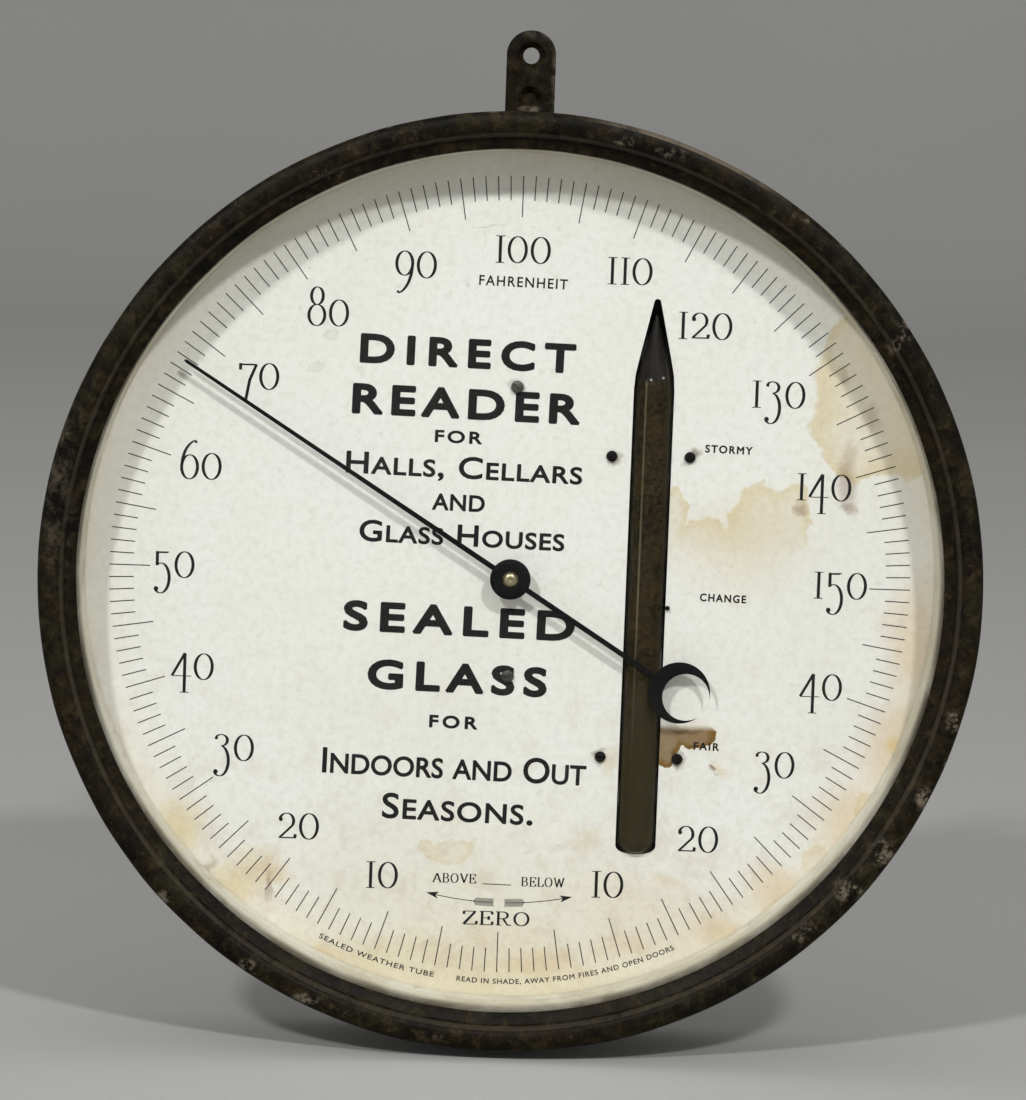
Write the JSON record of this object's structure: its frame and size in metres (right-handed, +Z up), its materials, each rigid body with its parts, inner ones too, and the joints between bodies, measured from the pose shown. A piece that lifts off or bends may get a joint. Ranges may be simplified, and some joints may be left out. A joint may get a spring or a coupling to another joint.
{
  "type": "dial thermometer",
  "caption": "Round wall-hung dial thermometer with a dark brass bezel, printed paper dial, black pointer and a storm-glass tube set in the dial.",
  "frame": {"origin": "centre of the case's flat back, in the wall plane, on the dial's axis", "axes": "+Z up towards the hanging tab, +Y into the wall, the dial faces -Y, +X to the right as seen from the front"},
  "size_m": [0.2228, 0.048, 0.2406],
  "materials": {
    "dark_brass": "old brass with a dark brown patina, worn back to metal on its edges",
    "brass": "aged lacquered brass",
    "steel": "grey polished steel",
    "blued_steel": "black blued steel",
    "screw_dark": "dark blued screw heads",
    "glass": "clear window glass",
    "tube_glass": "clear blown glass",
    "storm_liquid": "dark olive-brown liquid",
    "cream_card": "cream painted liner",
    "dial_paper": "off-white printed paper with brown stains"
  },
  "bodies": {
    "case_body": {"bezel": "dark_brass", "back_case": "dark_brass", "hanger_tab": "dark_brass", "glass": "glass", "storm_tube": "tube_glass", "storm_liquid": "storm_liquid", "glass_ring": "brass", "sight_ring": "cream_card", "dial_paper": "dial_paper", "dial_plate": "brass", "dial_screw_upper": "steel", "dial_screw_lower": "steel", "hanger_rivet_1": "brass", "hanger_rivet_2": "brass", "tube_strap_upper": "brass", "tube_strap_lower": "brass", "tube_pin": "brass", "movement_front_plate": "brass", "movement_back_plate": "brass", "anchor_post": "brass", "anchor_screw": "steel", "hairspring": "steel", "hairspring_stud": "brass", "tube_screw_upper_left": "screw_dark", "pillar_upper_left": "brass", "pillar_screw_upper_left": "steel", "tube_screw_upper_right": "screw_dark", "pillar_upper_right": "brass", "pillar_screw_upper_right": "steel", "tube_screw_lower_left": "screw_dark", "pillar_lower_left": "brass", "pillar_screw_lower_left": "steel", "tube_screw_lower_right": "screw_dark", "pillar_lower_right": "brass", "pillar_screw_lower_right": "steel"},
    "pointer_body": {"pointer": "blued_steel", "pointer_boss": "blued_steel", "pointer_collet": "brass", "pointer_arbor": "steel", "pinion": "steel", "hairspring_collet": "brass"},
    "sector_body": {"sector_gear": "brass", "sector_arbor": "steel", "link_pin": "steel"},
    "link_body": {"link": "steel"},
    "bimetal_body": {"bimetal_steel_strip": "steel", "bimetal_brass_strip": "brass", "free_end_clip": "brass"}
  },
  "joints": [
    {"name": "sector_swing", "type": "hinge", "parent": "case_body", "child": "sector_body", "pos_m": [0, -0.01675, 0.0324], "axis": [0, 1, 0], "range_deg": [-18.5, 24.25], "stiffness_Nm_per_rad": 0.6},
    {"name": "pointer_turn", "type": "hinge", "parent": "case_body", "child": "pointer_body", "pos_m": [0, -0.0327, 0], "axis": [0, 1, 0], "range_deg": [-194, 148]},
    {"name": "link_turn", "type": "hinge", "parent": "sector_body", "child": "link_body", "pos_m": [-0.00268, -0.014, 0.04099], "axis": [0, 1, 0], "range_deg": [-24.25, 18.5]},
    {"name": "bimetal_flex", "type": "hinge", "parent": "case_body", "child": "bimetal_body", "pos_m": [-0.02996, -0.01375, -0.07196], "axis": [0, 1, 0], "range_deg": [-1.45, 1.89]}
  ],
  "couplings": [
    {"joint": "pointer_turn", "follows": "sector_swing", "ratio": -8},
    {"joint": "link_turn", "follows": "sector_swing", "ratio": -1},
    {"joint": "bimetal_flex", "follows": "sector_swing", "ratio": 0.07771}
  ]
}
